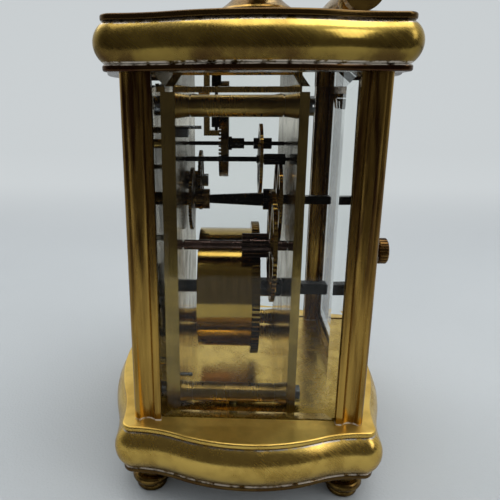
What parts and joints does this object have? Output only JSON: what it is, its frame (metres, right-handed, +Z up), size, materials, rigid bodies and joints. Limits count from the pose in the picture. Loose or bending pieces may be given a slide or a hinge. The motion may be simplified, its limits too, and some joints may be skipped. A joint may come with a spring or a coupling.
{
  "type": "carriage clock",
  "caption": "Brass carriage clock: serpentine base and cornice, fluted corner pillars, bevelled glass sides, visible spring-driven gear train, folding carrying handle.",
  "frame": {"origin": "centre of the clock's footprint, on the plane of the feet's undersides", "axes": "+Z up, -Y out of the dial, +Y out of the back door, +X towards the side with the door knob"},
  "size_m": [0.0984, 0.0832, 0.1367],
  "materials": {
    "case_brass": "aged, polished",
    "movement_brass": "polished",
    "steel": "polished",
    "dark_steel": "dark, aged",
    "blued_steel": "blued",
    "enamel": "gloss white vitreous enamel",
    "bevelled_glass": "polished"
  },
  "bodies": {
    "case": {"base": "case_brass", "cornice": "case_brass", "pillar_front_left": "case_brass", "pillar_front_right": "case_brass", "pillar_back_left": "case_brass", "pillar_back_right": "case_brass", "foot_front_left": "case_brass", "foot_front_right": "case_brass", "foot_back_left": "case_brass", "foot_back_right": "case_brass", "handle_post_left": "case_brass", "handle_post_right": "case_brass", "glass_left": "bevelled_glass", "glass_right": "bevelled_glass", "front_glass": "bevelled_glass", "top_glass": "bevelled_glass", "handle_pins": "steel", "case_screws": "steel", "plate_screws": "steel", "movement_screws": "steel", "platform_screws": "steel", "front_plate_fittings": "steel", "minute_stud": "steel", "front_plate": "movement_brass", "back_plate": "movement_brass", "plate_pillars": "movement_brass", "platform": "movement_brass", "potence": "movement_brass", "escape_cock": "movement_brass", "balance_cock": "movement_brass", "dial_mask": "movement_brass", "click_spring": "dark_steel", "hairspring": "blued_steel", "dial": "enamel"},
    "door": {"door_frame": "case_brass", "door_glass": "bevelled_glass", "door_knob": "case_brass"},
    "handle": {"handle_bail": "case_brass"},
    "centre": {"centre_wheel": "movement_brass", "centre_arbor": "dark_steel", "cannon_pinion": "movement_brass", "minute_hand": "blued_steel"},
    "barrel": {"barrel": "movement_brass", "barrel_cover": "movement_brass", "mainspring": "dark_steel"},
    "winding": {"barrel_arbor": "dark_steel", "ratchet_wheel": "dark_steel"},
    "click": {"click": "dark_steel"},
    "intermediate": {"intermediate_wheel": "movement_brass", "intermediate_arbor": "dark_steel"},
    "minute": {"minute_wheel": "movement_brass"},
    "hour": {"hour_wheel": "movement_brass", "hour_hand": "blued_steel"},
    "third": {"third_wheel": "movement_brass", "third_arbor": "dark_steel"},
    "contrate": {"contrate_wheel": "movement_brass", "contrate_arbor": "dark_steel"},
    "escape": {"escape_wheel": "dark_steel"},
    "lever": {"lever": "dark_steel"},
    "balance": {"balance": "movement_brass"}
  },
  "joints": [
    {"name": "door_hinge", "type": "hinge", "parent": "case", "child": "door", "pos_m": [-0.0289, 0.0287, 0.0666], "axis": [0, 0, 1], "range_deg": [0, 95]},
    {"name": "handle_swing", "type": "hinge", "parent": "case", "child": "handle", "pos_m": [0, 0, 0.1332], "axis": [1, 0, 0], "range_deg": [0, 213]},
    {"name": "centre_spin", "type": "hinge", "parent": "case", "child": "centre", "pos_m": [0, 0, 0.0756], "axis": [0, 1, 0], "continuous": true},
    {"name": "barrel_spin", "type": "hinge", "parent": "case", "child": "barrel", "pos_m": [0, 0, 0.0475], "axis": [0, 1, 0], "continuous": true},
    {"name": "winding_spin", "type": "hinge", "parent": "case", "child": "winding", "pos_m": [0, 0, 0.0475], "axis": [0, 1, 0], "continuous": true},
    {"name": "click_pivot", "type": "hinge", "parent": "case", "child": "click", "pos_m": [0.0115, 0, 0.045], "axis": [0, 1, 0], "range_deg": [0, 12], "stiffness_Nm_per_rad": 0.0004},
    {"name": "intermediate_spin", "type": "hinge", "parent": "case", "child": "intermediate", "pos_m": [0.015, 0, 0.06535], "axis": [0, 1, 0], "continuous": true},
    {"name": "minute_spin", "type": "hinge", "parent": "case", "child": "minute", "pos_m": [-0.011, 0, 0.0796], "axis": [0, 1, 0], "continuous": true},
    {"name": "hour_spin", "type": "hinge", "parent": "case", "child": "hour", "pos_m": [0, 0, 0.0756], "axis": [0, 1, 0], "continuous": true},
    {"name": "third_spin", "type": "hinge", "parent": "case", "child": "third", "pos_m": [0.0065, 0, 0.08835], "axis": [0, 1, 0], "continuous": true},
    {"name": "contrate_spin", "type": "hinge", "parent": "case", "child": "contrate", "pos_m": [-0.00384, 0, 0.09185], "axis": [0, 1, 0], "continuous": true},
    {"name": "escape_spin", "type": "hinge", "parent": "case", "child": "escape", "pos_m": [-0.00384, -0.01, 0.1079], "axis": [0, 0, 1], "continuous": true},
    {"name": "lever_pivot", "type": "hinge", "parent": "case", "child": "lever", "pos_m": [-0.00037, -0.00586, 0.1079], "axis": [0, 0, 1], "range_deg": [-4, 4]},
    {"name": "balance_spin", "type": "hinge", "parent": "case", "child": "balance", "pos_m": [0.00342, -0.00134, 0.1079], "axis": [0, 0, 1], "range_deg": [-270, 270], "stiffness_Nm_per_rad": 0.0000026}
  ],
  "couplings": [
    {"joint": "intermediate_spin", "follows": "centre_spin", "ratio": -0.18182},
    {"joint": "barrel_spin", "follows": "centre_spin", "ratio": 0.027273},
    {"joint": "third_spin", "follows": "centre_spin", "ratio": -10},
    {"joint": "contrate_spin", "follows": "centre_spin", "ratio": 70},
    {"joint": "escape_spin", "follows": "centre_spin", "ratio": -560},
    {"joint": "minute_spin", "follows": "centre_spin", "ratio": -0.28571},
    {"joint": "hour_spin", "follows": "centre_spin", "ratio": 0.083333}
  ]
}
